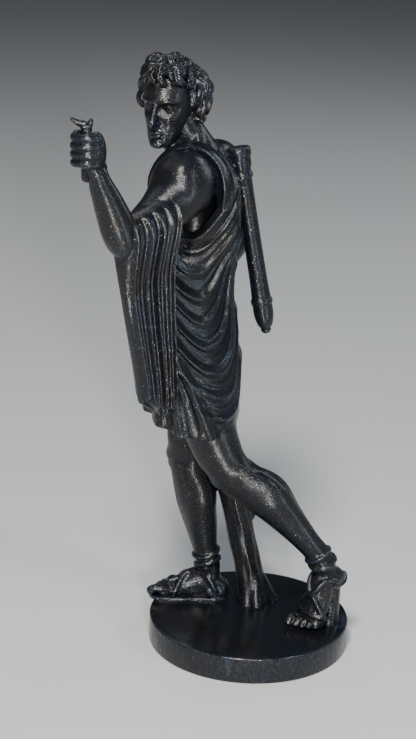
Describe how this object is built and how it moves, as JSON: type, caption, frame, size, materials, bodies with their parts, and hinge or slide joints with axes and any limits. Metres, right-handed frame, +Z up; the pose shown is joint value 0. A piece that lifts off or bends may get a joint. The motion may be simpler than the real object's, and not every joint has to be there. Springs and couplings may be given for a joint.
{
  "type": "greek god statue",
  "caption": "Small printed statue of a young god in a short tunic and draped cloak, striding beside a tree stump on a round base.",
  "frame": {"origin": "centre of the round base's underside, where the statue stands", "axes": "+Z up along the figure; the figure faces -Y, so its left arm and cloak are towards +X"},
  "size_m": [0.0864, 0.0733, 0.1743],
  "materials": {
    "printed_plastic": "near-black blue silk filament with fine printed layer lines, tiny glints and a soft uneven gloss"
  },
  "bodies": {
    "root": {"statue": "printed_plastic"}
  },
  "joints": []
}
